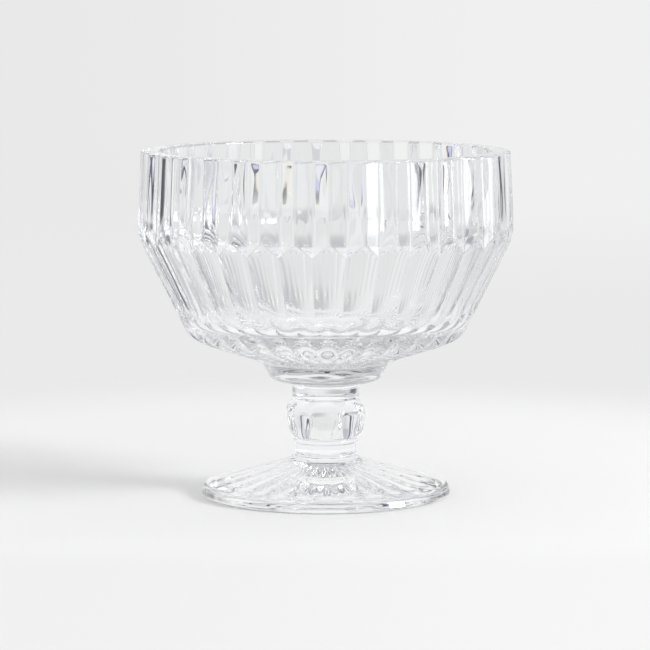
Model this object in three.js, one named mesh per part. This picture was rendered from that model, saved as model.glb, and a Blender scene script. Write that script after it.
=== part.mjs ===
// Footed bowl in pressed glass: bowl, two collars, knop and foot, joined hot on flat seams.
// Sizes are in millimetres and the part stands on z = 0 with +Z up.
import * as THREE from "three";

// Stack of heights, from the table up
const FOOT_HEIGHT = 16.2;
const LOWER_COLLAR_HEIGHT = 1.7;
const KNOP_HEIGHT = 12.5;
const UPPER_COLLAR_HEIGHT = 4.7;
const BOWL_HEIGHT = 74.9;

// Stem
const SEAM_RADIUS = 9.7;
const UPPER_COLLAR_SWELL = 1;
const LOWER_COLLAR_SWELL = 0.6;
const KNOP_RADIUS = 13.4;
const KNOP_FACETS = 8;
const KNOP_COLUMNS = 6;
const KNOP_SCOOP = 1;

// Foot
const FOOT_RADIUS = 40;
const FOOT_EDGE_HEIGHT = 2.9;
const FOOT_EDGE_WIDTH = 2.7;
const FOOT_EDGE_ROUND = 0.5;
const FOOT_NECK_HEIGHT = 3.6;
const FOOT_RING_WIDTH = 5.5;
const FOOT_HOLLOW = 5.2;
const FOOT_RAYS = 24;
const FOOT_RAY_DEPTH = 0.9;

// Bowl, outside
const FLUTES = 36;
const RIM_RADIUS = 58.8;
const RIM_ROUND = 0.8;
const RIM_BAND_HEIGHT = 1.1;
const BAND_FLARE = 1.2;
const SHOULDER_DROP = 25.3;
const PLEAT_DEPTH = 1.45;
const SCOOP_DEPTH = 0.55;
const CONE_FOOT_RADIUS = 44.9;
const CONE_FOOT_HEIGHT = 17.9;
const PLAIN_LINE_HEIGHT = 21.6;
const FLUTE_RUN_OUT = 1.6;
const HEEL_RADIUS = 38.6;
const HEEL_HEIGHT = 13.4;
const UNDERSIDE_RAY_DEPTH = 0.65;
const BOSS_TOP_RADIUS = 20.4;
const BOSS_HEIGHT = 7.3;
const BOSS_BOTTOM_RADIUS = 14.6;
const BOSS_CHAMFER = 1.1;

// Bowl, inside
const WALL = 5.8;
const BASE_THICKNESS = 7.4;
const INSIDE_CORNER = 3.6;

// Fineness of the round forms
const FLUTE_COLUMNS = 4;
const COLLAR_COLUMNS = 48;
const ROUND_STEPS = 2;

const glass = new THREE.MeshStandardMaterial({
  color: 0xe9f0f0,
  roughness: 0.05,
  metalness: 0,
  transparent: true,
  opacity: 0.35,
});

const point = (radius, height) => new THREE.Vector2(radius, height);

const mix = (start, end, share) => start + (end - start) * share;

// Distance from the middle of the nearest flute: 0 at its middle and 1 at the ridge beside it
function offMiddle(angle, count) {
  const flute = (angle / (2 * Math.PI)) * count;
  return 2 * Math.abs(flute - Math.round(flute));
}

// Hollow of a round-bottomed flute: 1 along its middle and 0 on its ridges
function scoop(angle, count) {
  const off = offMiddle(angle, count);
  return 1 - off * off;
}

// Points of a rounded corner from one point to another, bent towards the corner between them
function rounded(start, corner, end) {
  return new THREE.QuadraticBezierCurve(start, corner, end).getPoints(ROUND_STEPS);
}

// Turns an outline that may change with the angle; angle 0 is the front, at -Y
function turn(name, columns, outlineAt) {
  const rows = outlineAt(0).length;
  const geometry = new THREE.LatheGeometry(outlineAt(0), columns);
  const position = geometry.getAttribute("position");
  for (let column = 0; column <= columns; column += 1) {
    const angle = ((column % columns) / columns) * 2 * Math.PI;
    outlineAt(angle).forEach((at, row) => {
      position.setXYZ(column * rows + row, at.x * Math.sin(angle), -at.x * Math.cos(angle), at.y);
    });
  }
  geometry.computeVertexNormals();
  const mesh = new THREE.Mesh(geometry, glass.clone());
  mesh.name = name;
  return mesh;
}

// Foot: rayed hollow underside, flat resting ring, rolled edge, and a sloping top that flares up to a neck
function makeFoot() {
  const edge = Math.min(FOOT_EDGE_ROUND, FOOT_EDGE_HEIGHT * 0.3);
  const ringInside = FOOT_RADIUS - edge - FOOT_RING_WIDTH;
  const hollowRim = ringInside - edge;
  const hollowEye = SEAM_RADIUS * 0.7;
  const underside = (share) => point(
    mix(hollowRim, hollowEye, share),
    mix(edge, FOOT_HOLLOW, share),
  );
  const pressed = (share, depth) => {
    const at = underside(share);
    return point(at.x, at.y + depth);
  };
  const edgeTop = point(FOOT_RADIUS - FOOT_EDGE_WIDTH, FOOT_EDGE_HEIGHT);
  const neck = point(SEAM_RADIUS, FOOT_HEIGHT - FOOT_NECK_HEIGHT);
  const flareStart = point(SEAM_RADIUS * 1.96, mix(edgeTop.y, neck.y, 0.58));
  const flare = rounded(flareStart, point(SEAM_RADIUS * 1.28, mix(edgeTop.y, neck.y, 0.79)), neck);
  return turn("foot", FOOT_RAYS * FLUTE_COLUMNS, (angle) => {
    const depth = FOOT_RAY_DEPTH * (1 - offMiddle(angle, FOOT_RAYS));
    return [
      point(0, FOOT_HOLLOW),
      underside(1),
      pressed(0.88, depth),
      pressed(0.1, depth),
      underside(0),
      point(ringInside, 0),
      ...rounded(
        point(FOOT_RADIUS - edge, 0),
        point(FOOT_RADIUS, 0),
        point(FOOT_RADIUS, edge),
      ),
      ...rounded(
        point(FOOT_RADIUS, edge),
        point(FOOT_RADIUS - 0.05 * FOOT_EDGE_WIDTH, mix(edge, FOOT_EDGE_HEIGHT, 0.68)),
        edgeTop,
      ).slice(1),
      ...flare,
      point(SEAM_RADIUS, FOOT_HEIGHT),
      point(0, FOOT_HEIGHT),
    ];
  });
}

// Collar: a plain ring with a swollen edge between two seams
function makeCollar(name, bottom, height, swell) {
  const top = bottom + height;
  const widest = SEAM_RADIUS + swell;
  const bend = Math.min(swell, height / 3);
  return turn(name, COLLAR_COLUMNS, () => [
    point(0, bottom),
    ...rounded(point(SEAM_RADIUS, bottom), point(widest, bottom), point(widest, bottom + bend)),
    ...rounded(point(widest, top - bend), point(widest, top), point(SEAM_RADIUS, top)),
    point(0, top),
  ]);
}

// Knop: a barrel with lens-shaped facets that die out at both seams
function makeKnop(bottom) {
  const top = bottom + KNOP_HEIGHT;
  const barrel = new THREE.SplineCurve([
    point(SEAM_RADIUS, bottom),
    point(mix(SEAM_RADIUS, KNOP_RADIUS, 0.72), mix(bottom, top, 0.22)),
    point(KNOP_RADIUS, mix(bottom, top, 0.53)),
    point(mix(SEAM_RADIUS, KNOP_RADIUS, 0.76), mix(bottom, top, 0.85)),
    point(SEAM_RADIUS, top),
  ]).getPoints(4 * ROUND_STEPS);
  return turn("knop", KNOP_FACETS * KNOP_COLUMNS, (angle) => [
    point(0, bottom),
    ...barrel.map((at, row) => {
      const fade = Math.sin((Math.PI * row) / (barrel.length - 1));
      const cut = Math.max(fade, 0) * KNOP_SCOOP * scoop(angle, KNOP_FACETS);
      return point(row === barrel.length - 1 ? SEAM_RADIUS : at.x - cut, at.y);
    }),
    point(0, top),
  ]);
}

// Bowl: boss, rayed underside, scooped cone, pleated band and plain rim outside; smooth inside
function makeBowl(bottom) {
  const top = bottom + BOWL_HEIGHT;
  const bossTop = bottom + BOSS_HEIGHT;
  const heel = point(HEEL_RADIUS, bottom + HEEL_HEIGHT);
  const coneFoot = point(CONE_FOOT_RADIUS, bottom + CONE_FOOT_HEIGHT);
  const plainLine = bottom + PLAIN_LINE_HEIGHT;
  const shoulder = point(RIM_RADIUS + BAND_FLARE, top - SHOULDER_DROP);
  const bandTop = top - RIM_BAND_HEIGHT;

  // Both outer walls are straight lines of radius against height, measured on their ridges
  const bandLean = BAND_FLARE / (bandTop - shoulder.y);
  const coneLean = (shoulder.x + SCOOP_DEPTH - CONE_FOOT_RADIUS) / (shoulder.y - coneFoot.y);
  const bandRadius = (height) => RIM_RADIUS + bandLean * (bandTop - height);
  const coneRadius = (height) => CONE_FOOT_RADIUS + coneLean * (height - coneFoot.y);

  // The pleated band and the scooped cone meet in a zigzag line around the shoulder
  const zigzagHeight = (pleat, hollow) => (
    (RIM_RADIUS + bandLean * bandTop - pleat - CONE_FOOT_RADIUS + coneLean * coneFoot.y + hollow)
    / (coneLean + bandLean)
  );

  // Rays are pressed in square to the underside, around the heel and into the foot of the cone
  const heelBend = rounded(heel, point(mix(heel.x, coneFoot.x, 0.8), mix(heel.y, coneFoot.y, 0.4)), coneFoot);
  const undersideTilt = Math.atan2(heel.y - bossTop, heel.x - BOSS_TOP_RADIUS);
  const coneTilt = Math.atan2(1, coneLean);

  const floorHeight = heel.y + BASE_THICKNESS;
  const insideShoulder = point(shoulder.x - WALL, shoulder.y);
  const insideHeel = point(coneRadius(floorHeight) - WALL, floorHeight);
  const rimInside = RIM_RADIUS - WALL;
  const upFrom = (start, end, distance) => {
    const share = distance / start.distanceTo(end);
    return point(mix(start.x, end.x, share), mix(start.y, end.y, share));
  };
  const inside = [
    point(rimInside + RIM_ROUND, top),
    point(rimInside, top - RIM_ROUND),
    ...rounded(
      upFrom(insideShoulder, point(rimInside, top), INSIDE_CORNER),
      insideShoulder,
      upFrom(insideShoulder, insideHeel, INSIDE_CORNER),
    ),
    ...rounded(
      upFrom(insideHeel, insideShoulder, INSIDE_CORNER),
      insideHeel,
      point(insideHeel.x - INSIDE_CORNER, floorHeight),
    ),
    point(0, floorHeight),
  ];

  return turn("bowl", FLUTES * FLUTE_COLUMNS, (angle) => {
    const pleat = PLEAT_DEPTH * offMiddle(angle, FLUTES);
    const hollow = SCOOP_DEPTH * scoop(angle, FLUTES);
    const ray = UNDERSIDE_RAY_DEPTH * scoop(angle, FLUTES);
    const zigzag = zigzagHeight(pleat, hollow);
    const underside = (share) => point(mix(BOSS_TOP_RADIUS, heel.x, share), mix(bossTop, heel.y, share));
    const pressed = (at, tilt) => point(at.x - ray * Math.sin(tilt), at.y + ray * Math.cos(tilt));
    const cone = (height, depth) => point(coneRadius(height) - depth, height);
    const band = (height, depth) => point(bandRadius(height) - depth, height);
    return [
      point(0, bottom),
      point(SEAM_RADIUS, bottom),
      ...rounded(
        point(BOSS_BOTTOM_RADIUS, bottom + BOSS_CHAMFER),
        point(mix(BOSS_BOTTOM_RADIUS, BOSS_TOP_RADIUS, 0.48), bottom + BOSS_CHAMFER),
        point(mix(BOSS_BOTTOM_RADIUS, BOSS_TOP_RADIUS, 0.64), bottom + BOSS_HEIGHT * 0.45),
      ),
      underside(0),
      pressed(underside(0.15), undersideTilt),
      ...heelBend.map((at, row) => pressed(at, mix(undersideTilt, coneTilt, row / ROUND_STEPS))),
      cone(plainLine, 0),
      cone(plainLine + FLUTE_RUN_OUT, hollow),
      cone(mix(plainLine, zigzag, 0.55), hollow),
      point(bandRadius(zigzag) - pleat, zigzag),
      band(mix(zigzag, bandTop, 0.5), pleat),
      band(bandTop - FLUTE_RUN_OUT, pleat),
      band(bandTop, 0),
      ...rounded(
        point(RIM_RADIUS, top - RIM_ROUND),
        point(RIM_RADIUS, top),
        point(RIM_RADIUS - RIM_ROUND, top),
      ),
      ...inside,
    ];
  });
}

const lowerCollarBottom = FOOT_HEIGHT;
const knopBottom = lowerCollarBottom + LOWER_COLLAR_HEIGHT;
const upperCollarBottom = knopBottom + KNOP_HEIGHT;
const bowlBottom = upperCollarBottom + UPPER_COLLAR_HEIGHT;

const footedBowl = new THREE.Group();
footedBowl.name = "footed_bowl";
footedBowl.add(
  makeFoot(),
  makeCollar("lower_collar", lowerCollarBottom, LOWER_COLLAR_HEIGHT, LOWER_COLLAR_SWELL),
  makeKnop(knopBottom),
  makeCollar("upper_collar", upperCollarBottom, UPPER_COLLAR_HEIGHT, UPPER_COLLAR_SWELL),
  makeBowl(bowlBottom),
);

export default footedBowl;
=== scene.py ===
# %% [markdown]
# # A footed bowl in pressed glass
# The measured model holds five pieces that a glassmaker joins hot: the bowl, two collars, the knop and the
# foot. Here each one is made again as a fine surface, because clear glass shows every facet twice: once as a
# shine on the outside and once as a bend in what lies behind it. Lengths are in millimetres until a mesh is
# made.

# %% Load the measured model
import math

import bpy
import numpy as np
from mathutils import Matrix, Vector


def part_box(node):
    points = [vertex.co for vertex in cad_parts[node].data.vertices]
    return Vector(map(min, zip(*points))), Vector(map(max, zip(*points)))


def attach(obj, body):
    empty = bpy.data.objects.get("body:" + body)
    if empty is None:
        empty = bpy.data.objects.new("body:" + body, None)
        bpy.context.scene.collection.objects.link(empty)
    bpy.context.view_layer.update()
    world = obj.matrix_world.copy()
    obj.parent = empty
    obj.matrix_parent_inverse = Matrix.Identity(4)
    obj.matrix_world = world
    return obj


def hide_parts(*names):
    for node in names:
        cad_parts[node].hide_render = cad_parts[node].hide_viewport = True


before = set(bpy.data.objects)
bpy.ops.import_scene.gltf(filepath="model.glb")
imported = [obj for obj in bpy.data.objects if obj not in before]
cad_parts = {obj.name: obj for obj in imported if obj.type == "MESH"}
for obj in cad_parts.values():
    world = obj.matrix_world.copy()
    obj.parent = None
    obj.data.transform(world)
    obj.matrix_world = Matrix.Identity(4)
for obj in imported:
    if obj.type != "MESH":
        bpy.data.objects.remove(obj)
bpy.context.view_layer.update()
MM = 0.001
print("nodes:", sorted(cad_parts))

# %% [markdown]
# ## The camera
# The photograph was taken with a long lens from about a metre away, a little above the rim. The distance and
# the height were worked out from the rim's ellipse, and the aim from where the axis crosses the picture's
# middle row. The bowl is turned one degree, so the camera is moved around it instead of the bowl.

# %% Camera
PICTURE_SIDE = 650
FOCAL_PIXELS = 3023
CAMERA_DISTANCE = 960
CAMERA_HEIGHT = 168.1
CAMERA_TURN = math.radians(-1)
AIM_HEIGHT = 53.9
AIM_LEFT = 0.25
SENSOR_WIDTH = 36

camera_data = bpy.data.cameras.new("camera")
camera_data.sensor_width = SENSOR_WIDTH
camera_data.lens = SENSOR_WIDTH * FOCAL_PIXELS / PICTURE_SIDE
camera = bpy.data.objects.new("camera", camera_data)
bpy.context.collection.objects.link(camera)
camera.location = Vector((
    CAMERA_DISTANCE * math.sin(CAMERA_TURN),
    -CAMERA_DISTANCE * math.cos(CAMERA_TURN),
    CAMERA_HEIGHT,
)) * MM
aim = Vector((-AIM_LEFT, 0, AIM_HEIGHT)) * MM
camera.rotation_euler = (aim - camera.location).to_track_quat("-Z", "Y").to_euler()
bpy.context.scene.camera = camera
print("lens:", round(camera_data.lens, 1), "mm")

# %% [markdown]
# ## Turned surfaces
# Every piece is turned around one axis, so it is a grid: rows run along the outline from the lower pole to
# the upper pole, and columns run around. A row may change its radius or its height with the angle, which is
# how flutes are pressed in. The Screw modifier gives plain turned forms only, so the grids are worked out
# with numpy. The columns crowd on the ridges and valleys, where the light changes fastest.

# %% Columns around the axis
def crowded_angles(count, per_pitch, crowding):
    """Column angles for `count` flutes. Within a pitch the place u becomes
    u - crowding * sin(4 pi u) / (4 pi), so columns crowd at u = 0 and u = 1/2."""
    u = np.arange(count * per_pitch) / per_pitch
    return (u - crowding * np.sin(4 * np.pi * u) / (4 * np.pi)) * 2 * np.pi / count


def off_middle(angle, count):
    """Distance from the middle of the nearest flute: 0 in its middle, 1 on the ridge beside it."""
    flute = angle * count / (2 * np.pi)
    return 2 * np.abs(flute - np.round(flute))


print("columns of a quarter turn:", np.degrees(crowded_angles(4, 6, 0.8)[:6]).round(1))


# %% Soft corners
def soft_least(a, b, width):
    """Smaller of two values with the corner rounded: half of a + b - sqrt((a - b)^2 + width^2)."""
    return 0.5 * (a + b - np.sqrt((a - b) ** 2 + width ** 2))


def soft_cut(depth, width):
    """Depth where it is positive, else nothing, with the edge rounded: minus the soft least of -depth, 0."""
    return -soft_least(-depth, 0.0, width)


print("soft least of 1 and 1:", soft_least(1.0, 1.0, 0.1))


# %% Stretches of an outline
def steps(count, start_crowd=0.0, end_crowd=0.0):
    """Shares t from 0 to 1 that crowd at either end: t - a t (1 - t)^2 + b t^2 (1 - t)."""
    t = np.linspace(0, 1, count)
    return t - start_crowd * t * (1 - t) ** 2 + end_crowd * t ** 2 * (1 - t)


def straight(start, end, shares):
    """Rows of a straight stretch of outline: start + (end - start) * share."""
    rows = [np.multiply.outer(1 - shares, s) + np.multiply.outer(shares, e) for s, e in zip(start, end)]
    return rows[0], rows[1]


def bend(start, corner, end, count):
    """Rows of a rounded corner: (1 - t)^2 start + 2 t (1 - t) corner + t^2 end."""
    t = np.linspace(0, 1, count)
    weights = ((1 - t) ** 2, 2 * t * (1 - t), t ** 2)
    radius = sum(np.multiply.outer(w, p[0]) for w, p in zip(weights, (start, corner, end)))
    height = sum(np.multiply.outer(w, p[1]) for w, p in zip(weights, (start, corner, end)))
    return radius, height


def stack_rows(stretches, columns):
    """Joins stretches of outline into one grid of radius and one of height, one column per angle."""
    grids = []
    for part in (0, 1):
        blocks = []
        for stretch in stretches:
            block = np.asarray(stretch[part], float)
            if block.ndim == 1:
                block = block[:, None]
            blocks.append(np.broadcast_to(block, (block.shape[0], columns)))
        grids.append(np.concatenate(blocks))
    return grids


print("crowded shares:", steps(5, 0.4, 0.8).round(2))

# %% [markdown]
# ## From grid to mesh
# A mesh needs points and the corners of each face, and both come straight from the grid: a face joins two
# neighbours in one row with the two above them. Each end closes in a fan around a pole. A piece ends in a
# flat seam where it was joined to the next one, and the faces of that seam take a second material.

# %% Grid to mesh
def ring_points(angles, radius, height):
    """Points of a turned grid: (r sin a, -r cos a, h)."""
    return np.stack([radius * np.sin(angles), -radius * np.cos(angles), height], axis=-1).reshape(-1, 3)


def ring_faces(shape):
    """Corner numbers of a grid, the corners one column further round, and the faces between its rows."""
    corner = np.arange(shape[0] * shape[1]).reshape(shape)
    beside = np.roll(corner, -1, axis=1)
    faces = np.stack([corner[:-1], beside[:-1], beside[1:], corner[1:]], axis=-1).reshape(-1, 4)
    return corner, beside, faces


def mesh_object(name, points, faces, materials):
    """Smooth mesh object at the origin, from points in millimetres and lists of corners."""
    mesh = bpy.data.meshes.new(name)
    mesh.from_pydata(points * MM, [], faces)
    for material in materials:
        mesh.materials.append(material)
    mesh.polygons.foreach_set("use_smooth", np.ones(len(faces), bool))
    thing = bpy.data.objects.new(name, mesh)
    bpy.context.collection.objects.link(thing)
    print(name, "faces:", len(faces))
    return thing


# %% Turned pieces
SEAM_RADIUS = 9.7
SEAM_EYE = 0.3 * SEAM_RADIUS


def seam_cap(height, outward):
    """Flat seam at one height: rows from near the axis out to the seam's edge, or back again."""
    eye, edge = (SEAM_EYE, height), (SEAM_RADIUS, height)
    return straight(eye, edge, steps(3)) if outward else straight(edge, eye, steps(3))


def turned_piece(name, angles, stretches, materials, seam_below, seam_above):
    """Closed turned form with a pole below the first ring and one above the last. The two bands and the cap
    of a seam take the second material."""
    radius, height = stack_rows(stretches, angles.size)
    rings, columns = radius.shape
    corner, beside, sides = ring_faces(radius.shape)
    low_cap = np.stack([np.full(columns, corner.size), beside[0], corner[0]], axis=-1)
    high_cap = np.stack([corner[-1], beside[-1], np.full(columns, corner.size + 1)], axis=-1)
    poles = np.array([[0, 0, height[0].mean()], [0, 0, height[-1].mean()]])
    points = np.concatenate([ring_points(angles, radius, height), poles])
    faces = sides.tolist() + low_cap.tolist() + high_cap.tolist()
    piece = mesh_object(name, points, faces, materials)
    band = np.repeat(np.arange(rings - 1), columns)
    seam = (seam_below & (band < 2)) | (seam_above & (band > rings - 4))
    seam = np.concatenate([seam, np.full(columns, seam_below), np.full(columns, seam_above)])
    piece.data.polygons.foreach_set("material_index", seam.astype(np.int32))
    piece.data.update()
    piece.data.validate()
    return piece


def place(piece, node):
    """Puts a piece in the place of its measured node, on the one body of this object."""
    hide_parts(node)
    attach(piece, "root")


def node_span(node):
    """Lowest height, highest height and half width of a measured node, in millimetres."""
    low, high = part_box(node)
    return low.z / MM, high.z / MM, high.x / MM


print("bowl from", node_span("bowl")[0], "to", node_span("bowl")[1])

# %% [markdown]
# ## The glass
# The real material is clear soda-lime glass, pressed in a mould and fire-polished afterwards. The flame melts
# the skin, so it is almost perfectly smooth, yet it keeps a faint long ripple from the chilled mould. The eye
# reads that ripple in the way straight reflections wander. The shader is a Principled surface with full
# transmission and the index of soda-lime glass. A Glass shader would look alike, but the Principled one also
# serves the seams: where two pieces were fused there is no surface at all, so those faces are fully
# see-through. The tint is a very faint green-blue, taken at each surface that a ray crosses.

# %% Node helper and colours
def hex_colour(text):
    """sRGB hex to linear: c / 12.92 below 0.04045, else ((c + 0.055) / 1.055) ^ 2.4."""
    code = np.array([int(text[i:i + 2], 16) for i in (0, 2, 4)]) / 255
    linear = np.where(code <= 0.04045, code / 12.92, ((code + 0.055) / 1.055) ** 2.4)
    return (*linear.tolist(), 1.0)


def add_node(tree, kind, inputs=None, **settings):
    """Adds one node. Settings are its properties; each input is a value or a socket to link from."""
    node = tree.nodes.new(kind)
    for key, value in settings.items():
        setattr(node, key, value)
    for key, value in (inputs or {}).items():
        if isinstance(value, bpy.types.NodeSocket):
            tree.links.new(value, node.inputs[key])
        else:
            node.inputs[key].default_value = value
    return node


def new_material(name):
    """Empty node material with its output."""
    material = bpy.data.materials.new(name)
    material.use_nodes = True
    tree = material.node_tree
    tree.nodes.clear()
    output = add_node(tree, "ShaderNodeOutputMaterial")
    return material, tree, output


print("middle grey:", round(hex_colour("808080")[0], 3))

# %% Fire-polished pressed glass
GLASS_TINT = "FEFFFF"
GLASS_IOR = 1.52
RIPPLE_LENGTH = 9
RIPPLE_HEIGHT = 0.010
SKIN_LENGTH = 1.6
SKIN_HEIGHT = 0.0006
POLISH_LENGTH = 14
POLISH_SPAN = (0.4, 0.75)
POLISH_ROUGHNESS = (0.0, 0.02)

pressed_glass, tree, output = new_material("fire_polished_pressed_glass")
coordinates = add_node(tree, "ShaderNodeTexCoord").outputs["Object"]
ripple = add_node(tree, "ShaderNodeTexNoise", {
    "Vector": coordinates, "Scale": 1 / (RIPPLE_LENGTH * MM), "Detail": 1.0,
})
ripple_bump = add_node(tree, "ShaderNodeBump", {
    "Strength": 1.0, "Distance": RIPPLE_HEIGHT * MM, "Height": ripple.outputs["Fac"],
})
skin = add_node(tree, "ShaderNodeTexNoise", {
    "Vector": coordinates, "Scale": 1 / (SKIN_LENGTH * MM), "Detail": 1.0,
})
skin_bump = add_node(tree, "ShaderNodeBump", {
    "Strength": 1.0, "Distance": SKIN_HEIGHT * MM, "Height": skin.outputs["Fac"],
    "Normal": ripple_bump.outputs["Normal"],
})
polish = add_node(tree, "ShaderNodeTexNoise", {
    "Vector": coordinates, "Scale": 1 / (POLISH_LENGTH * MM), "Detail": 2.0,
})
roughness = add_node(tree, "ShaderNodeMapRange", {
    "Value": polish.outputs["Fac"], "From Min": POLISH_SPAN[0], "From Max": POLISH_SPAN[1],
    "To Min": POLISH_ROUGHNESS[0], "To Max": POLISH_ROUGHNESS[1],
})
surface = add_node(tree, "ShaderNodeBsdfPrincipled", {
    "Base Color": hex_colour(GLASS_TINT), "IOR": GLASS_IOR, "Transmission Weight": 1.0,
    "Roughness": roughness.outputs["Result"], "Normal": skin_bump.outputs["Normal"],
})
tree.links.new(surface.outputs["BSDF"], output.inputs["Surface"])
print("glass:", pressed_glass.name)

# %% Fused seam
fused_seam, tree, output = new_material("fused_glass_seam")
surface = add_node(tree, "ShaderNodeBsdfPrincipled", {
    "Base Color": hex_colour(GLASS_TINT), "IOR": GLASS_IOR, "Alpha": 0.0,
})
tree.links.new(surface.outputs["BSDF"], output.inputs["Surface"])
GLASS = (pressed_glass, fused_seam)
print("seam:", fused_seam.name)

# %% [markdown]
# ## The bowl
# The outside has three patterns pressed one above the other. From the melted rim down runs a band of pleats:
# two flat facets to each pitch, meeting in a ridge and a valley, which fade out in the round of the rim.
# Below the shoulder the wall slopes in, and each scoop there is a shallow round trough that sits under a
# ridge. Where the two walls cross, they make the zigzag line around the shoulder, so the outside is simply
# the smaller of the two radii at every place. Rays are pressed into the base, and a round boss ends it.
# Cutting the flutes with booleans would leave ragged edges here; a formula keeps every ridge clean.

# %% Bowl sizes
BOWL_BOTTOM, BOWL_TOP, BOWL_RADIUS = node_span("bowl")
FLUTES = 36
RIM_RADIUS = 58.8
RIM_ROUND = 0.9
RIM_EDGE = 1.6
SHOULDER_HEIGHT = BOWL_TOP - 25.3
PLEAT_DEPTH = 1.45
PLEAT_SHARPNESS = 0.985
SCOOP_DEPTH = 0.8
SCOOP_LOW = BOWL_BOTTOM + 21.8
SCOOP_END = 6.0
CONE_FOOT = (44.9, BOWL_BOTTOM + 17.9)
EDGE_ROUND = 0.08
band_top = BOWL_TOP - RIM_ROUND
band_lean = (BOWL_RADIUS - RIM_RADIUS) / (band_top - SHOULDER_HEIGHT)
cone_lean = (BOWL_RADIUS + SCOOP_DEPTH - CONE_FOOT[0]) / (SHOULDER_HEIGHT - CONE_FOOT[1])
print("cone lean:", round(cone_lean, 3), "band lean:", round(band_lean, 3))


# %% Pleated band and scooped cone
def pleat_wave(angle):
    """Pleats as a triangle wave with rounded tips: arcsin(k cos) scaled to 0 on ridges, 1 in valleys."""
    wave = np.arcsin(PLEAT_SHARPNESS * np.cos(angle * FLUTES)) / np.arcsin(PLEAT_SHARPNESS)
    return 0.5 - 0.5 * wave


def band_wall(angle, height):
    """Pleated band: a straight flare, less the pleats."""
    return RIM_RADIUS + band_lean * (band_top - height) - PLEAT_DEPTH * pleat_wave(angle)


def cone_wall(angle, height):
    """Scooped cone: a straight slope, less a round trough that lifts out near its lower end."""
    slope = CONE_FOOT[0] + cone_lean * (height - CONE_FOOT[1])
    lift = np.clip(1 - (height - SCOOP_LOW) / SCOOP_END, 0, None)
    trough = SCOOP_DEPTH * (1 - lift ** 2 - off_middle(angle, FLUTES) ** 2)
    return slope - soft_cut(trough, EDGE_ROUND)


def zigzag_height(angle):
    """Height where the pleated band meets the scooped cone: both walls are straight lines in height."""
    pleat = PLEAT_DEPTH * pleat_wave(angle)
    trough = SCOOP_DEPTH * (1 - off_middle(angle, FLUTES) ** 2)
    flare = RIM_RADIUS + band_lean * band_top - pleat
    slope = CONE_FOOT[0] - cone_lean * CONE_FOOT[1] - trough
    return (flare - slope) / (cone_lean + band_lean)


bowl_angles = crowded_angles(FLUTES, 12, 0.8)
zigzag = zigzag_height(bowl_angles)
print("zigzag from", round(zigzag.min(), 1), "to", round(zigzag.max(), 1))

# %% Rim and mould swell
SWELL_WAVES = ((0.035, 46, 29, 0.0), (0.02, 26, -43, 2.0))
SWELL_RUN_IN = 4
SWELL_RUN_OUT = 2


def rim_round(angle):
    """Melted outer edge of the rim: the quadratic curve that leaves the pleats upright and ends level, on
    one circle, so that the pleats fade out on the way."""
    t = steps(9)[1:, None]
    start = RIM_RADIUS - PLEAT_DEPTH * pleat_wave(angle)
    radius = (1 - t ** 2) * start + t ** 2 * (RIM_RADIUS - RIM_EDGE)
    height = BOWL_TOP - RIM_ROUND * (1 - t) ** 2
    return radius, np.broadcast_to(height, radius.shape)


def mould_swell(angle, height):
    """Faint swell that the chilled mould leaves: the sum of
    depth * (sin(2 pi height / length + turns * angle + start) - 1), which only takes glass away."""
    waves = [
        depth * (np.sin(2 * np.pi * height / length + turns * angle + start) - 1)
        for depth, length, turns, start in SWELL_WAVES
    ]
    return sum(waves)


print("deepest swell:", 2 * sum(wave[0] for wave in SWELL_WAVES), "mm")

# %% Rayed base
HEEL = (38.6, BOWL_BOTTOM + 13.4)
HEEL_CORNER = (43.6, BOWL_BOTTOM + 15.2)
BOSS_TOP = (20.4, BOWL_BOTTOM + 7.3)
RAY_DEPTH = 0.95
RAY_TOP = BOWL_BOTTOM + 19.4
RAY_BLUNTNESS = 8


def rayed_base(angle):
    """Underside, heel and foot of the cone in one line, with rays pressed in along its normal. A ray is a
    trough that is widest half way and narrows to a blunt end at the boss and on the cone."""
    cone_end = (CONE_FOOT[0] + cone_lean * (RAY_TOP - CONE_FOOT[1]), RAY_TOP)
    line = [
        straight(BOSS_TOP, HEEL, steps(34)[1:-1]),
        bend(HEEL, HEEL_CORNER, CONE_FOOT, 20),
        straight(CONE_FOOT, cone_end, steps(10)[1:]),
    ]
    radius = np.concatenate([part[0] for part in line])
    height = np.concatenate([part[1] for part in line])
    along = np.concatenate([[0], np.cumsum(np.hypot(np.diff(radius), np.diff(height)))])
    tangent = np.stack([np.gradient(radius, along), np.gradient(height, along)])
    lift = (2 * along / along[-1] - 1) ** RAY_BLUNTNESS
    trough = soft_cut(RAY_DEPTH * (1 - lift[:, None] - off_middle(angle, FLUTES) ** 2), EDGE_ROUND)
    return radius[:, None] - trough * tangent[1][:, None], height[:, None] + trough * tangent[0][:, None]


print("rays end at", round(RAY_TOP, 1))

# %% Outside of the bowl
GROOVE_START = (SEAM_RADIUS + 0.1, BOWL_BOTTOM + 0.15)
GROOVE_CORNER = (SEAM_RADIUS + 1, BOWL_BOTTOM + 0.9)
BOSS_BOTTOM = (14.6, BOWL_BOTTOM + 1.1)
BOSS_EDGE = (BOSS_BOTTOM[0] + 0.4, BOSS_BOTTOM[1] + 0.02)
BOSS_CORNER = (BOSS_BOTTOM[0] + 2.8, BOSS_BOTTOM[1])
BOSS_SIDE = (BOSS_BOTTOM[0] + 3.7, BOWL_BOTTOM + 3.3)


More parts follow.
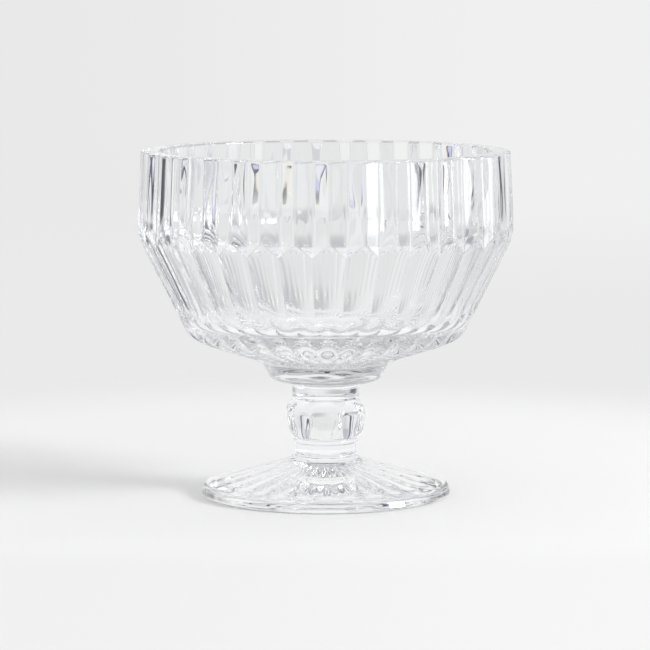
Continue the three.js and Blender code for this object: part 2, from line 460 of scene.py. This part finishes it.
def bowl_outside(angle):
    """Outer stretches from the seam up to the rim; the wall is the smaller of band and cone."""
    meeting = zigzag_height(angle)
    low = RAY_TOP + np.multiply.outer(steps(40, 0.4, 0.8), meeting - RAY_TOP)
    high = meeting + np.multiply.outer(steps(36, 0.8, 0.4)[1:], band_top - meeting)
    heights = np.concatenate([low, high])
    wall = soft_least(band_wall(angle, heights), cone_wall(angle, heights), EDGE_ROUND)
    run_in = np.clip((heights - RAY_TOP) / SWELL_RUN_IN, 0, 1)
    run_out = np.clip((band_top - heights) / SWELL_RUN_OUT, 0, 1)
    wall = wall + run_in * run_out * mould_swell(angle, heights)
    return [
        seam_cap(BOWL_BOTTOM, True),
        bend(GROOVE_START, GROOVE_CORNER, BOSS_BOTTOM, 6),
        bend(BOSS_EDGE, BOSS_CORNER, BOSS_SIDE, 10),
        straight(BOSS_SIDE, BOSS_TOP, steps(8)[1:]),
        rayed_base(angle),
        (wall[1:], heights[1:]),
        rim_round(angle),
    ]


print("rows outside:", sum(len(rows[0]) for rows in bowl_outside(bowl_angles)))

# %% Inside of the bowl
WALL = 5.8
FLOOR_HEIGHT = HEEL[1] + 7.4
FLOOR_CORNER = 3.6
FLOOR_EYE = 2.0
SHOULDER_CORNER = 3.6


def on_the_way(start, end, length):
    """Point at a length from start on the straight line to end."""
    return tuple(start + (end - start) * length / np.linalg.norm(end - start))


def bowl_inside():
    """Rim and inner stretches from the rim down to the floor, smooth all round."""
    cone_at_floor = CONE_FOOT[0] + cone_lean * (FLOOR_HEIGHT - CONE_FOOT[1])
    rim = np.array([RIM_RADIUS - WALL, BOWL_TOP])
    shoulder = np.array([BOWL_RADIUS - WALL, SHOULDER_HEIGHT])
    corner = np.array([cone_at_floor - WALL, FLOOR_HEIGHT])
    rim_high = (rim[0] + RIM_ROUND, BOWL_TOP)
    rim_low = on_the_way(rim, shoulder, RIM_ROUND)
    shoulder_high = on_the_way(shoulder, rim, SHOULDER_CORNER)
    shoulder_low = on_the_way(shoulder, corner, SHOULDER_CORNER)
    corner_high = on_the_way(corner, shoulder, FLOOR_CORNER)
    corner_low = (corner[0] - FLOOR_CORNER, FLOOR_HEIGHT)
    return [
        bend(rim_high, rim, rim_low, 8),
        straight(rim_low, shoulder_high, steps(8)[1:-1]),
        bend(shoulder_high, shoulder, shoulder_low, 10),
        straight(shoulder_low, corner_high, steps(8)[1:-1]),
        bend(corner_high, corner, corner_low, 18),
        straight(corner_low, (FLOOR_EYE, FLOOR_HEIGHT), steps(6)[1:]),
    ]


bowl_rows = bowl_outside(bowl_angles) + bowl_inside()
bowl = turned_piece("bowl_glass", bowl_angles, bowl_rows, GLASS, True, False)
place(bowl, "bowl")

# %% [markdown]
# ## The stem
# Two plain collars hold a barrel-shaped knop between them. The knop has eight lens-shaped facets: each is a
# shallow trough that is deepest at the belly and dies out towards the collars, so neighbours meet in a ridge.
# A bevelled cylinder could stand for a collar, but the grid gives its edge the swell of glass that was soft.

# %% Collars
COLLAR_COLUMNS = 128
COLLAR_LIP = (0.05, 0.02)


def make_collar(name, node):
    """Ring with a swollen edge between two flat seams."""
    bottom, top, widest = node_span(node)
    turn = min(widest - SEAM_RADIUS, (top - bottom) / 3)
    lip = SEAM_RADIUS + COLLAR_LIP[0]
    low_side, high_side = (widest, bottom + turn), (widest, top - turn)
    stretches = [
        seam_cap(bottom, True),
        bend((lip, bottom + COLLAR_LIP[1]), (widest, bottom), low_side, 8),
        straight(low_side, high_side, steps(5)[1:-1]),
        bend(high_side, (widest, top), (lip, top - COLLAR_LIP[1]), 8),
        seam_cap(top, False),
    ]
    angles = crowded_angles(COLLAR_COLUMNS, 1, 0.0)
    collar = turned_piece(name, angles, stretches, GLASS, True, True)
    place(collar, node)


make_collar("upper_collar_glass", "upper_collar")
make_collar("lower_collar_glass", "lower_collar")

# %% Knop
KNOP_BOTTOM, KNOP_TOP = node_span("knop")[:2]
KNOP_FACETS = 8
KNOP_RADIUS = 13.4
KNOP_SCOOP = 1.5
KNOP_FADE = 0.7
KNOP_STATIONS = (0.0, 0.22, 0.53, 0.85, 1.0)
KNOP_FULLNESS = (0.0, 0.72, 1.0, 0.76, 0.0)


def knop_rows(angle):
    """Barrel through five stations by a smooth polynomial, less eight troughs that fade as sin(pi t)^0.7."""
    t = steps(60)
    fullness = np.polyval(np.polyfit(KNOP_STATIONS, KNOP_FULLNESS, 4), t)
    barrel = SEAM_RADIUS + (KNOP_RADIUS - SEAM_RADIUS) * fullness
    reach = np.clip(np.sin(np.pi * t), 0, 1)[:, None] ** KNOP_FADE
    trough = KNOP_SCOOP * (reach - off_middle(angle, KNOP_FACETS) ** 2)
    radius = barrel[:, None] - soft_cut(trough, EDGE_ROUND)
    height = KNOP_BOTTOM + (KNOP_TOP - KNOP_BOTTOM) * t
    return [seam_cap(KNOP_BOTTOM, True), (radius[1:-1], height[1:-1, None]), seam_cap(KNOP_TOP, False)]


knop_angles = crowded_angles(KNOP_FACETS, 24, 0.6)
knop = turned_piece("knop_glass", knop_angles, knop_rows(knop_angles), GLASS, True, True)
place(knop, "knop")

# %% [markdown]
# ## The foot
# The top of the foot is a plain slope that turns up into a short neck in one smooth curve. Its edge is a
# short band that leans in, so it mirrors the light at the right. The pattern is pressed into the hollow
# underside: soft lobes, like the petals of a daisy, that start near the middle and stop short of the flat
# ring that the foot rests on. The hollow runs into that ring in a curve, because a sharp corner would draw a
# bright line through the glass.

# %% Foot sizes
FOOT_BOTTOM, FOOT_TOP, FOOT_RADIUS = node_span("foot")
FOOT_EDGE_HEIGHT = 2.9
FOOT_EDGE_WIDTH = 2.7
FOOT_EDGE_ROUND = 0.5
FOOT_NECK_HEIGHT = 3.6
FOOT_RING_WIDTH = 5.5
FOOT_RING_BLEND = 2.6
FOOT_HOLLOW = 5.2
FOOT_HOLLOW_EYE = 0.7 * SEAM_RADIUS
FOOT_EYE = 1.0
FOOT_RAYS = 24
FOOT_RAY_DEPTH = 0.2
FOOT_RAY_ENDS = (0.12, 0.1)
ring_outside = FOOT_RADIUS - FOOT_EDGE_ROUND
ring_inside = ring_outside - FOOT_RING_WIDTH
foot_rise = FOOT_TOP - FOOT_NECK_HEIGHT - FOOT_EDGE_HEIGHT
print("foot ring from", round(ring_inside, 1), "to", round(ring_outside, 1))


# %% Underside of the foot
def foot_underside(angle):
    """Hollow cone with soft lobes of height depth * reach * (1 + cos(pi * off middle)) / 2, where the reach
    falls to nothing at both ends, then a blend into the flat ring."""
    hollow_eye = (FOOT_HOLLOW_EYE, FOOT_HOLLOW)
    hollow_slope = FOOT_HOLLOW / (ring_inside - hollow_eye[0])
    hollow_rim = (ring_inside - FOOT_RING_BLEND, hollow_slope * FOOT_RING_BLEND)
    ring_start = (ring_inside + FOOT_RING_BLEND, FOOT_BOTTOM)
    shares = steps(40)
    radius, height = straight(hollow_eye, hollow_rim, shares)
    inner_end = np.clip(1 - shares / FOOT_RAY_ENDS[0], 0, 1) ** 2
    outer_end = np.clip(1 - (1 - shares) / FOOT_RAY_ENDS[1], 0, 1) ** 2
    lobe = 0.5 + 0.5 * np.cos(np.pi * off_middle(angle, FOOT_RAYS))
    ray = FOOT_RAY_DEPTH * (1 - inner_end - outer_end)[:, None] * lobe
    blend = bend(hollow_rim, (ring_inside, FOOT_BOTTOM), ring_start, 12)
    return [
        straight((FOOT_EYE, FOOT_HOLLOW), hollow_eye, steps(5)[:-1]),
        (np.broadcast_to(radius[:, None], ray.shape), height[:, None] + ray),
        (blend[0][1:], blend[1][1:]),
        straight(ring_start, (ring_outside, FOOT_BOTTOM), steps(6)[1:-1]),
    ]


foot_angles = crowded_angles(FOOT_RAYS, 14, 0.6)
print("rows under the foot:", sum(len(rows[0]) for rows in foot_underside(foot_angles)))

# %% Top of the foot
# Two numbers place each point: shares of the edge's width and height, or of the seam's radius and the rise.
EDGE_SIDE = (0.24, 0.82)
EDGE_CORNER = (0.31, 0.98)
FLARE_START = (1.96, 0.58)
FLARE_CORNER = (1.04, 0.855)
NECK_END = 0.05


def foot_top():
    """Leaning edge, straight slope, and one curve up to the neck and the seam."""
    edge_low = (FOOT_RADIUS, FOOT_EDGE_ROUND)
    edge_side = (FOOT_RADIUS - EDGE_SIDE[0] * FOOT_EDGE_WIDTH, EDGE_SIDE[1] * FOOT_EDGE_HEIGHT)
    edge_corner = (FOOT_RADIUS - EDGE_CORNER[0] * FOOT_EDGE_WIDTH, EDGE_CORNER[1] * FOOT_EDGE_HEIGHT)
    edge_top = (FOOT_RADIUS - FOOT_EDGE_WIDTH, FOOT_EDGE_HEIGHT)
    flare_start = (SEAM_RADIUS * FLARE_START[0], FOOT_EDGE_HEIGHT + FLARE_START[1] * foot_rise)
    flare_corner = (SEAM_RADIUS * FLARE_CORNER[0], FOOT_EDGE_HEIGHT + FLARE_CORNER[1] * foot_rise)
    neck = (SEAM_RADIUS, FOOT_TOP - FOOT_NECK_HEIGHT)
    return [
        bend((ring_outside, FOOT_BOTTOM), (FOOT_RADIUS, FOOT_BOTTOM), edge_low, 8),
        straight(edge_low, edge_side, steps(8)[1:-1]),
        bend(edge_side, edge_corner, edge_top, 12),
        straight(edge_top, flare_start, steps(16)[1:-1]),
        bend(flare_start, flare_corner, neck, 16),
        straight(neck, (SEAM_RADIUS, FOOT_TOP - NECK_END), steps(5)[1:]),
        seam_cap(FOOT_TOP, False),
    ]


foot_rows = foot_underside(foot_angles) + foot_top()
foot = turned_piece("foot_glass", foot_angles, foot_rows, GLASS, False, True)
place(foot, "foot")

# %% [markdown]
# ## The paper
# The photograph has a pale paper floor that melts into a pale background. Near the bowl the paper is lit by
# the lamps and takes the shadow. Further out it shows pale tones to the camera, with painted light in them: a
# painted pool of light around the foot, a middle distance, and a backdrop painted lighter at the right, the
# side of the key light. All of them are worked out from the place on the paper: its distance from the bowl,
# its height and its direction.

# %% Places on the paper
SPREAD_MIDDLE = 1.8
SPREAD_RATE = 0.15

paper, tree, output = new_material("matte_seamless_paper")
coordinates = add_node(tree, "ShaderNodeTexCoord").outputs["Object"]
axes = add_node(tree, "ShaderNodeSeparateXYZ", {"Vector": coordinates})
length = add_node(tree, "ShaderNodeVectorMath", {0: coordinates}, operation="LENGTH")
places = {
    "x": axes.outputs["X"], "y": axes.outputs["Y"], "z": axes.outputs["Z"],
    "distance": length.outputs["Value"],
    "spread middle": SPREAD_MIDDLE, "spread rate": SPREAD_RATE, "one": 1.0,
}
# The direction is counted from the back, right positive, and opens a little with the distance.
for name, operation, first, second in (
    ("sideways", "DIVIDE", "x", "distance"),
    ("further", "SUBTRACT", "distance", "spread middle"),
    ("spread", "MULTIPLY", "further", "spread rate"),
    ("opening", "ADD", "spread", "one"),
    ("angle", "ARCTAN2", "x", "y"),
    ("direction", "MULTIPLY", "angle", "opening"),
):
    step = add_node(tree, "ShaderNodeMath", {0: places[first], 1: places[second]}, operation=operation)
    places[name] = step.outputs["Value"]
print("places:", list(places))

# %% Fades across the paper
# Each fade goes smoothly from 0 to 1 between two values of a place, in metres. Sideways has no unit.
# Pool edge is the mask of the painted pool of light. Side and front side are the masks of tones painted
# lighter at the right, on the key light's side. Under is the mask of the white painted under the foot.
PAPER_FADES = {
    "pool edge": ("distance", 0.10, 0.28),
    "backdrop": ("distance", 0.5, 1.2),
    "side": ("sideways", -0.12, 0.12),
    "front": ("y", -0.05, -0.13),
    "front side": ("x", -0.08, 0.08),
    "under": ("distance", 0.045, 0.07),
    "near": ("distance", 0.15, 0.20),
    "far": ("distance", 0.35, 1.10),
    "wall": ("z", 0.12, 0.30),
    "strips": ("distance", 0.6, 1.6),
}
shares = {}
for name, (measure, start, end) in PAPER_FADES.items():
    fade = add_node(tree, "ShaderNodeMapRange", {
        "Value": places[measure], "From Min": start, "From Max": end,
    }, interpolation_type="SMOOTHSTEP")
    shares[name] = fade.outputs["Result"]
print("fades:", len(shares))

# %% Tones of the paper
# Pool is a painted pool of light. Right and front right are painted lighter, on the key light's side. Under
# is a white painted in for glass rays, for the light that the glass lets through onto the paper beneath the
# foot.
PAPER_TONES = {
    "pool": "FCFCFC", "middle": "EAEAEA", "left": "E9E9E9", "right": "F0F0F0",
    "front left": "F1F1F1", "front right": "F6F6F6", "under": "FFFFFF", "near": "F1F1F3",
}
tones = {name: hex_colour(code) for name, code in PAPER_TONES.items()}
for name, share, first, second in (
    ("sides", "side", "left", "right"),
    ("backdrop", "backdrop", "middle", "sides"),
    ("floor", "pool edge", "pool", "backdrop"),
    ("front", "front side", "front left", "front right"),
    ("camera", "front", "floor", "front"),
    ("glass", "under", "under", "near"),
):
    blend = add_node(tree, "ShaderNodeMix", {
        0: shares[share], 6: tones[first], 7: tones[second],
    }, data_type="RGBA")
    tones[name] = blend.outputs[2]
print("tones:", list(tones))

# %% [markdown]
# ## Cards that only the glass sees
# Clear glass has no colour of its own: its lines are bent pictures of what stands around it. So a glass
# photographer sets light and dark cards outside the picture. Meshes for the cards would throw shadows and
# get into other views. Here they are painted light and dark: tones of the paper, by direction in degrees
# from the back, right positive, and only rays that the glass has bent or mirrored meet them, as the bright
# bars and dark lines in the glass. A light and a dark side close behind the bowl make its facets alternate,
# and thin strips far off give dark lines, some with a painted prism tint beside them, blue or amber, in place
# of the colours that glass splits from light. A colour ramp is too coarse for those, so each strip is worked
# out from its own direction.

# %% Cards on the floor and the wall
# The card tones are painted light and dark that only the glass shows.
NEAR_CARDS = (
    (-180, "E7E7E9"), (-130, "F6F6F7"), (-60, "F4F4F6"), (-46, "E6E6EA"), (-39, "62616A"), (-28, "62616A"),
    (-23, "D4D4D8"), (-13, "BEBEC2"), (-5, "C6C6C6"), (3, "E8E8E8"), (12, "F0F0F0"), (22, "E0E0E2"),
    (36, "E4E4E6"), (46, "DADADC"), (50, "A2A1AA"), (72, "A2A1AA"), (78, "DEDEE0"), (110, "F6F6F8"),
    (180, "E7E7E9"),
)
FAR_CARDS = (
    (-180, "F0F0F2"), (-90, "F6F6F8"), (-75, "FAFAFB"), (-66, "F6F6F8"), (-60, "B4B3BC"), (-47, "B4B3BC"),
    (-42, "C8C7CE"), (-33, "F0F0F2"), (-24, "EEEEF0"), (-14, "E8E8E8"), (0, "E3E3E3"), (8, "E6E6E6"),
    (11, "F1F1F1"), (16, "F1F1F1"), (20, "EAEAEC"), (25, "D9D8DD"), (33, "D9D8DD"), (38, "ECECEE"),
    (44, "EEEEF0"), (58, "F8F8F9"), (67, "E2E2E5"), (76, "E2E2E5"), (90, "F6F6F8"), (120, "F6F6F8"),
    (180, "F0F0F2"),
)
WALL_CARDS = (
    (-180, "7C7A84"), (-160, "8A8890"), (-145, "CACACE"), (-100, "F4F4F6"), (-78, "FDFDFD"), (-63, "FDFDFD"),
    (-54, "C6C5CC"), (-42, "B4B3BC"), (-34, "C0BFC8"), (-24, "F0F0F2"), (0, "F0F0F0"), (22, "F2F2F2"),
    (32, "DEDEE2"), (42, "D0CFD6"), (56, "DCDCE0"), (90, "FAFAFB"), (130, "F0F0F2"), (148, "D0D0D4"),
    (162, "8A8890"), (180, "7C7A84"),
)

turn_share = add_node(tree, "ShaderNodeMapRange", {
    "Value": places["direction"], "From Min": -math.pi, "From Max": math.pi,
})
for zone, cards in (("near", NEAR_CARDS), ("far", FAR_CARDS), ("wall", WALL_CARDS)):
    ramp = add_node(tree, "ShaderNodeValToRGB", {"Fac": turn_share.outputs["Result"]})
    stops = ramp.color_ramp.elements
    for number, (degrees, tone) in enumerate(cards):
        position = degrees / 360 + 0.5
        stop = stops[number] if number < 2 else stops.new(position)
        stop.position = position
        stop.color = hex_colour(tone)
    blend = add_node(tree, "ShaderNodeMix", {
        0: shares[zone], 6: tones["glass"], 7: ramp.outputs["Color"],
    }, data_type="RGBA")
    tones["glass"] = blend.outputs[2]
print("cards:", len(NEAR_CARDS), len(FAR_CARDS), len(WALL_CARDS))

# %% Strips far off
# Each strip has its direction and half its width in degrees, and its tone.
STRIPS = (
    # The C6C8EA and F0E8DC strips are painted prism tints, blue and amber, beside the dark strips.
    (-53.5, 5.5, "33323A"), (-31.4, 0.7, "C6C8EA"), (-28.4, 2.0, "3A3940"), (-23.4, 0.4, "C6C8EA"),
    (-22.8, 0.35, "3A3940"), (-22.3, 0.3, "F0E8DC"), (-10.5, 0.3, "D2D2D6"), (9.2, 0.3, "D2D2D6"),
    (17.1, 0.3, "F0E8DC"), (17.6, 0.35, "3A3940"), (18.2, 0.4, "C6C8EA"), (29, 1.3, "45444C"),
    (42, 0.6, "3A3940"),
)
STRIP_EDGE = (1.4, 0.6)

for degrees, half_width, tone in STRIPS:
    offset = add_node(tree, "ShaderNodeMath", {
        0: places["direction"], 1: math.radians(degrees),
    }, operation="SUBTRACT")
    aside = add_node(tree, "ShaderNodeMath", {0: offset.outputs["Value"]}, operation="ABSOLUTE")
    strip = add_node(tree, "ShaderNodeMapRange", {
        "Value": aside.outputs["Value"], "From Min": math.radians(STRIP_EDGE[0] * half_width),
        "From Max": math.radians(STRIP_EDGE[1] * half_width),
    }, interpolation_type="SMOOTHSTEP")
    share = add_node(tree, "ShaderNodeMath", {
        0: strip.outputs["Result"], 1: shares["strips"],
    }, operation="MULTIPLY")
    blend = add_node(tree, "ShaderNodeMix", {
        0: share.outputs["Value"], 6: tones["glass"], 7: hex_colour(tone),
    }, data_type="RGBA")
    tones["glass"] = blend.outputs[2]
print("strips:", len(STRIPS))

# %% [markdown]
# ## Putting the paper together
# The Light Path node tells what kind of ray has met the paper. The camera meets the painted tones far from
# the bowl and the lit paper near it, with a small share of the painted pool of light laid over it, so the
# shadow stays, a little lightened. Bent and mirrored rays meet the cards, and under the foot a white painted
# in for the light that the glass lets through. Every other ray meets plain lit paper, so the cards don't
# colour the light in the room. Matte paper has short fibres, which are only just seen, so a faint bump is
# enough for them.


# %% Kinds of ray
def glass_rays(tree, path):
    """1 for a ray that glass has bent or mirrored on its way to the camera, 0 once it has met the paper:
    the greater of Is Glossy and Is Transmission, times whether the diffuse depth is below a half."""
    bent = add_node(tree, "ShaderNodeMath", {
        0: path.outputs["Is Glossy Ray"], 1: path.outputs["Is Transmission Ray"],
    }, operation="MAXIMUM")
    direct = add_node(tree, "ShaderNodeMath", {
        0: path.outputs["Diffuse Depth"], 1: 0.5,
    }, operation="LESS_THAN")
    both = add_node(tree, "ShaderNodeMath", {
        0: bent.outputs["Value"], 1: direct.outputs["Value"],
    }, operation="MULTIPLY")
    return both.outputs["Value"]


path = add_node(tree, "ShaderNodeLightPath")
shares["camera ray"] = path.outputs["Is Camera Ray"]
shares["glass ray"] = glass_rays(tree, path)
print("paper nodes so far:", len(tree.nodes))

# %% Share of the painted tones
# POOL_SHARE lays a share of the painted pool of light over the lit paper even beside the foot, which lightens
# the real shadow. FRONT_SHARE shows the front tones, painted lighter at the right, in place of most of the
# lit paper in front. GLASS_SHARE gives bent rays almost only painted tones, also the white painted under the
# foot where the real paper lies in the glass's shadow.
POOL_SHARE = 0.15
FRONT_SHARE = 0.9
GLASS_SHARE = 0.97

shares["pool least"] = POOL_SHARE
shares["front most"] = FRONT_SHARE
shares["glass least"] = GLASS_SHARE
for name, operation, first, second in (
    ("front part", "MULTIPLY", "front", "front most"),
    ("floor part", "MAXIMUM", "pool edge", "pool least"),
    ("even part", "MAXIMUM", "floor part", "front part"),
    ("camera part", "MULTIPLY", "camera ray", "even part"),
    ("card part", "MAXIMUM", "pool edge", "glass least"),
    ("glass part", "MULTIPLY", "glass ray", "card part"),
    ("shown", "MAXIMUM", "camera part", "glass part"),
):
    step = add_node(tree, "ShaderNodeMath", {0: shares[first], 1: shares[second]}, operation=operation)
    shares[name] = step.outputs["Value"]
print("shares:", list(shares))

# %% Lit paper and painted paper
PAPER_COLOUR = "F7F7F7"
PAPER_ROUGHNESS = 0.9
PAPER_SHINE = 0.2
FIBRE_LENGTH = 0.8
FIBRE_HEIGHT = 0.02
FIBRE_STRENGTH = 0.15

fibre = add_node(tree, "ShaderNodeTexNoise", {
    "Vector": coordinates, "Scale": 1 / (FIBRE_LENGTH * MM), "Detail": 3.0,
})
fibre_bump = add_node(tree, "ShaderNodeBump", {
    "Strength": FIBRE_STRENGTH, "Distance": FIBRE_HEIGHT * MM, "Height": fibre.outputs["Fac"],
})
lit_paper = add_node(tree, "ShaderNodeBsdfPrincipled", {
    "Base Color": hex_colour(PAPER_COLOUR), "Roughness": PAPER_ROUGHNESS, "Specular IOR Level": PAPER_SHINE,
    "Normal": fibre_bump.outputs["Normal"],
})
shown_tone = add_node(tree, "ShaderNodeMix", {
    0: shares["glass ray"], 6: tones["camera"], 7: tones["glass"],
}, data_type="RGBA")
# The emission carries the painted tones: the painted pool of light and the sides painted lighter at the right
# for the camera, and the painted cards, prism tints and white under the foot for the glass.
painted_tone_paper = add_node(tree, "ShaderNodeEmission", {"Color": shown_tone.outputs[2]})
mixed = add_node(tree, "ShaderNodeMixShader", {
    "Fac": shares["shown"], 1: lit_paper.outputs["BSDF"], 2: painted_tone_paper.outputs["Emission"],
})
tree.links.new(mixed.outputs["Shader"], output.inputs["Surface"])
print("paper nodes:", len(tree.nodes))

# %% [markdown]
# ## The cove
# A round cove of paper stands all around the bowl, so every view has a background without a corner. A plane
# with a curved end would do for one view only.

# %% Paper cove
COVE_RADIUS = 2400
COVE_BEND = 500
COVE_HEIGHT = 1500
COVE_EYE = 20
COVE_COLUMNS = 96
FLOOR_GAP = 0.3

cove_angles = crowded_angles(COVE_COLUMNS, 1, 0.0)
floor_edge = (COVE_RADIUS - COVE_BEND, -FLOOR_GAP)
radius, height = stack_rows([
    straight((COVE_EYE, -FLOOR_GAP), floor_edge, steps(30)),
    bend(floor_edge, (COVE_RADIUS, -FLOOR_GAP), (COVE_RADIUS, COVE_BEND), 16),
    straight((COVE_RADIUS, COVE_BEND), (COVE_RADIUS, COVE_HEIGHT), steps(6)[1:]),
], COVE_COLUMNS)
corner, beside, faces = ring_faces(radius.shape)
middle = np.stack([corner[0], beside[0], np.full(COVE_COLUMNS, corner.size)], axis=-1)
points = np.concatenate([ring_points(cove_angles, radius, height), [[0, 0, -FLOOR_GAP]]])
cove = mesh_object("paper_cove", points, faces[:, ::-1].tolist() + middle.tolist(), [paper])

# %% [markdown]
# ## Light
# One soft box at the right, a little in front, is the main light: it throws the long soft shadow to the left
# and shines as a white patch on the foot's edge. Two low, narrow boxes beside it work like tall windows: each
# is the white bar that one flat facet mirrors. The room over the cove lights the paper evenly. To the glass
# it is a dim ceiling with a dark soffit over the back, which draws a few dark lines low in the bowl.

# %% Soft boxes
BOX_DISTANCE = 1.75
BOX_AIM = 60
# Each box has its azimuth from the camera's side and its elevation in degrees, its width and height in
# metres, and its radiance.
SOFT_BOXES = (
    ("key_box", 70, 21, 0.50, 0.60, 26.0),
    ("window_near", 58.5, 4.5, 0.30, 0.38, 5.5),
    ("window_side", 87, 4.5, 0.26, 0.38, 3.5),
)

for name, azimuth, elevation, width, height, radiance in SOFT_BOXES:
    lamp = bpy.data.lights.new(name, "AREA")
    lamp.shape = "RECTANGLE"
    lamp.size = width
    lamp.size_y = height
    lamp.energy = radiance * math.pi * width * height
    box = bpy.data.objects.new(name, lamp)
    bpy.context.collection.objects.link(box)
    turn, rise = math.radians(azimuth), math.radians(elevation)
    towards = Vector((math.sin(turn) * math.cos(rise), -math.cos(turn) * math.cos(rise), math.sin(rise)))
    box.location = Vector((0, 0, BOX_AIM * MM)) + towards * BOX_DISTANCE
    box.rotation_euler = (-towards).to_track_quat("-Z", "Y").to_euler()
    print(name, "power:", round(lamp.energy, 2), "W")

# %% Pale room
ROOM_LIGHT = "D6D6D6"
# CEILING_TONE and SOFFIT_TONE are painted dark that only bent and mirrored rays meet, so the soffit's dark
# lines in the bowl are painted reflections; the paper is lit by ROOM_LIGHT.
CEILING_TONE = "CECED2"
SOFFIT_TONE = "2E2D34"
SOFFIT_EDGES = (("Z", 0.58, 0.66), ("Z", 0.90, 0.84), ("Y", 0.10, 0.40))

world = bpy.data.worlds.new("pale_room")
bpy.context.scene.world = world
world.use_nodes = True
tree = world.node_tree
coordinates = add_node(tree, "ShaderNodeTexCoord").outputs["Generated"]
axes = add_node(tree, "ShaderNodeSeparateXYZ", {"Vector": coordinates})
soffit = 1.0
for axis, start, end in SOFFIT_EDGES:
    edge = add_node(tree, "ShaderNodeMapRange", {
        "Value": axes.outputs[axis], "From Min": start, "From Max": end,
    }, interpolation_type="SMOOTHSTEP")
    step = add_node(tree, "ShaderNodeMath", {0: edge.outputs["Result"], 1: soffit}, operation="MULTIPLY")
    soffit = step.outputs["Value"]
ceiling = add_node(tree, "ShaderNodeMix", {
    0: soffit, 6: hex_colour(CEILING_TONE), 7: hex_colour(SOFFIT_TONE),
}, data_type="RGBA")
path = add_node(tree, "ShaderNodeLightPath")
room = add_node(tree, "ShaderNodeMix", {
    0: glass_rays(tree, path), 6: hex_colour(ROOM_LIGHT), 7: ceiling.outputs[2],
}, data_type="RGBA")
tree.links.new(room.outputs[2], tree.nodes["Background"].inputs["Color"])
print("room nodes:", len(tree.nodes))

# %% [markdown]
# ## Last settings
# Light goes in and out of clear glass many times before it reaches the camera. With few bounces the thick
# base would turn black, so the limits are raised. The Standard view shows each tone as it is written.

# %% Bounces and view
scene = bpy.context.scene
scene.view_settings.view_transform = "Standard"
scene.cycles.max_bounces = 32
scene.cycles.transmission_bounces = 32
scene.cycles.glossy_bounces = 16
scene.cycles.transparent_max_bounces = 64
print("bounces:", scene.cycles.max_bounces)
